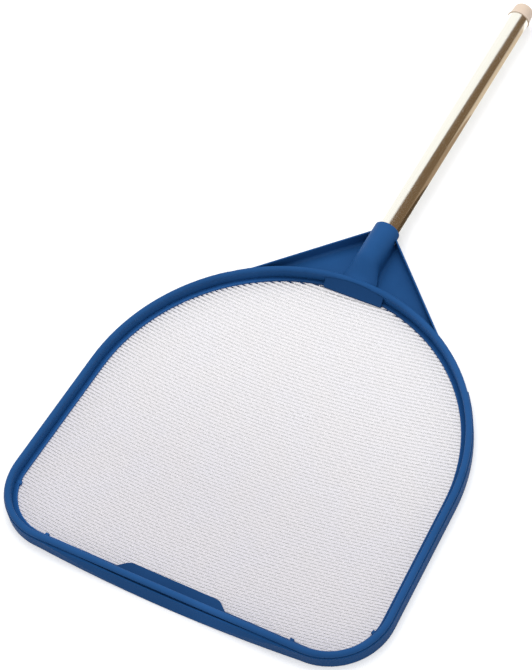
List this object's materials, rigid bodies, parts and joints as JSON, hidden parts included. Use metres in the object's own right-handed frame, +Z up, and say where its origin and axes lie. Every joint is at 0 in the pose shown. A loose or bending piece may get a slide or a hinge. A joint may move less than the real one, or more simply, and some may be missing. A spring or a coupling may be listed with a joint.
{
  "type": "leaf skimmer net",
  "caption": "Flat scoop with a stretched fine net in a moulded rim, on a short tube handle with an end cap, for lifting leaves off water.",
  "frame": {"origin": "middle of the footprint, on the plane that the frame lies on", "axes": "+Y from the front edge of the scoop towards the end of the handle, +Z up out of the net, +X across the scoop"},
  "size_m": [0.4322, 0.8396, 0.0352],
  "materials": {
    "frame_plastic": "satin moulded blue plastic",
    "net_mesh": "woven white nylon mesh",
    "ring_plastic": "satin moulded blue plastic",
    "strip_plastic": "satin blue plastic, slightly softer",
    "tube_aluminium": "bare drawn aluminium",
    "cap_plastic": "beige polyethylene",
    "screw_steel": "bright stainless steel"
  },
  "bodies": {
    "root": {"scoop_frame": "frame_plastic", "net": "net_mesh", "net_retaining_ring": "ring_plastic", "edge_strip": "strip_plastic", "handle_tube": "tube_aluminium", "handle_end_cap": "cap_plastic", "socket_screw": "screw_steel"}
  },
  "joints": []
}
